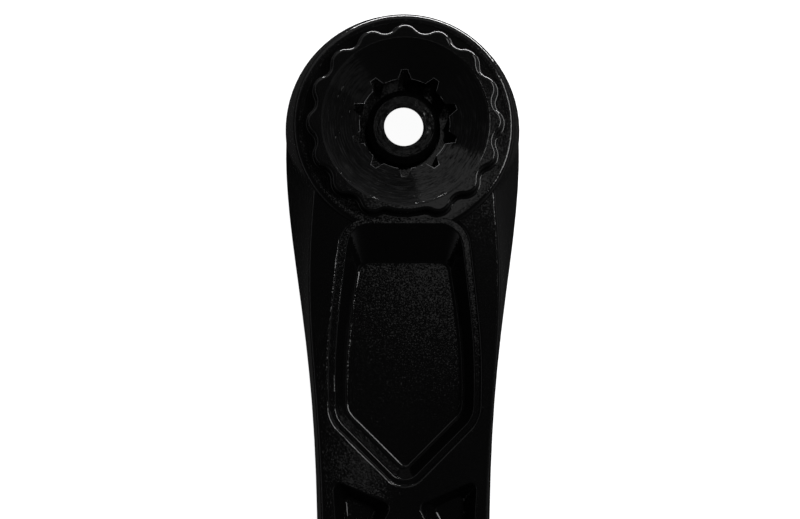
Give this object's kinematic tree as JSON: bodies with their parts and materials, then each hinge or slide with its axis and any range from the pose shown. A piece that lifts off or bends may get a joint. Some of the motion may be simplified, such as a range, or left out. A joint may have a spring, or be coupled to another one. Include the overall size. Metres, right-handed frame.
{
  "type": "bicycle crank arm",
  "caption": "Forged bicycle crank arm with a splined spindle socket in a scalloped boss, a captive hollow bolt, stepped lightening pockets and a threaded pedal eye.",
  "frame": {"origin": "on the spindle axis, in the plane of the outboard face that the arm lies on", "axes": "+Z along the spindle axis, towards the bicycle; -Y along the arm, to the pedal eye; +X across the arm"},
  "size_m": [0.0486, 0.2056, 0.029],
  "materials": {
    "arm_black": "fine bead-blasted, black anodised; the dish and the seats are turned",
    "bolt_steel": "turned, blackened steel",
    "ring_black": "turned, black anodised"
  },
  "bodies": {
    "arm": {"crank_arm": "arm_black", "extractor_ring": "ring_black"},
    "bolt": {"crank_bolt": "bolt_steel"}
  },
  "joints": [
    {"name": "bolt_turn", "type": "hinge", "parent": "arm", "child": "bolt", "pos_m": [0, 0, 0.0118], "axis": [0, 0, 1], "continuous": true}
  ]
}
